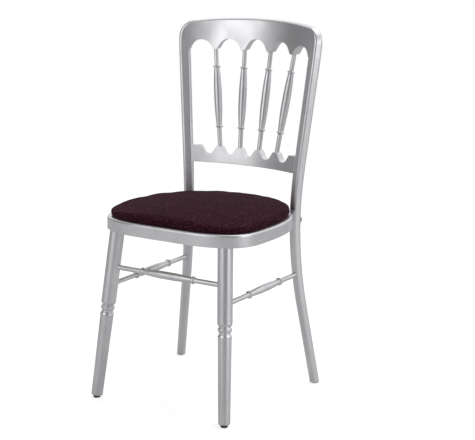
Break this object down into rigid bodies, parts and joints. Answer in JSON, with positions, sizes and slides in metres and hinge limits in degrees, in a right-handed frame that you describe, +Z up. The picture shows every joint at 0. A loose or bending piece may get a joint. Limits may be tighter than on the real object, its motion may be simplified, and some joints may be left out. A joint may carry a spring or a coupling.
{
  "type": "dining chair",
  "caption": "Spindle-back dining chair with turned front legs, bent rear posts, scalloped back rails and a lift-out upholstered seat pad",
  "frame": {"origin": "on the floor at the middle of the overall box", "axes": "+Z up, the sitter faces -Y, +X is the sitter's left"},
  "size_m": [0.4342, 0.4692, 0.901],
  "materials": {
    "silver_lacquer": "satin aluminium-coloured lacquer over beech",
    "bare_wood": "bare beech",
    "zinc_steel": "zinc-plated steel",
    "grey_plastic": "dark grey moulded plastic",
    "aubergine_cloth": "dark aubergine flecked weave",
    "foam": "open-cell foam",
    "plywood": "bare plywood",
    "touch_tape": "black hook and loop tape"
  },
  "bodies": {
    "frame": {"back_spindle_1": "silver_lacquer", "back_spindle_2": "silver_lacquer", "back_spindle_3": "silver_lacquer", "back_spindle_4": "silver_lacquer", "barrel_nut_left": "zinc_steel", "barrel_nut_right": "zinc_steel", "crest_dowel_left": "bare_wood", "crest_dowel_right": "bare_wood", "crest_rail": "silver_lacquer", "front_leg_left": "silver_lacquer", "front_leg_right": "silver_lacquer", "front_stretcher": "silver_lacquer", "glide_front_left": "grey_plastic", "glide_front_right": "grey_plastic", "glide_rear_left": "grey_plastic", "glide_rear_right": "grey_plastic", "lower_back_rail": "silver_lacquer", "rear_post_left": "silver_lacquer", "rear_post_right": "silver_lacquer", "ring_loop_tapes": "touch_tape", "seat_bolt_left": "zinc_steel", "seat_bolt_right": "zinc_steel", "seat_rail_front": "silver_lacquer", "seat_rail_left": "silver_lacquer", "seat_rail_rear": "silver_lacquer", "seat_rail_right": "silver_lacquer", "side_stretcher_left": "silver_lacquer", "side_stretcher_right": "silver_lacquer"},
    "pad": {"pad_board": "plywood", "pad_cover": "aubergine_cloth", "pad_foam": "foam", "pad_hook_tapes": "touch_tape", "pad_staples": "zinc_steel"}
  },
  "joints": [
    {"name": "pad_lift", "type": "slide", "parent": "frame", "child": "pad", "axis": [0, 0, 1], "range_m": [0, 0.05]}
  ]
}
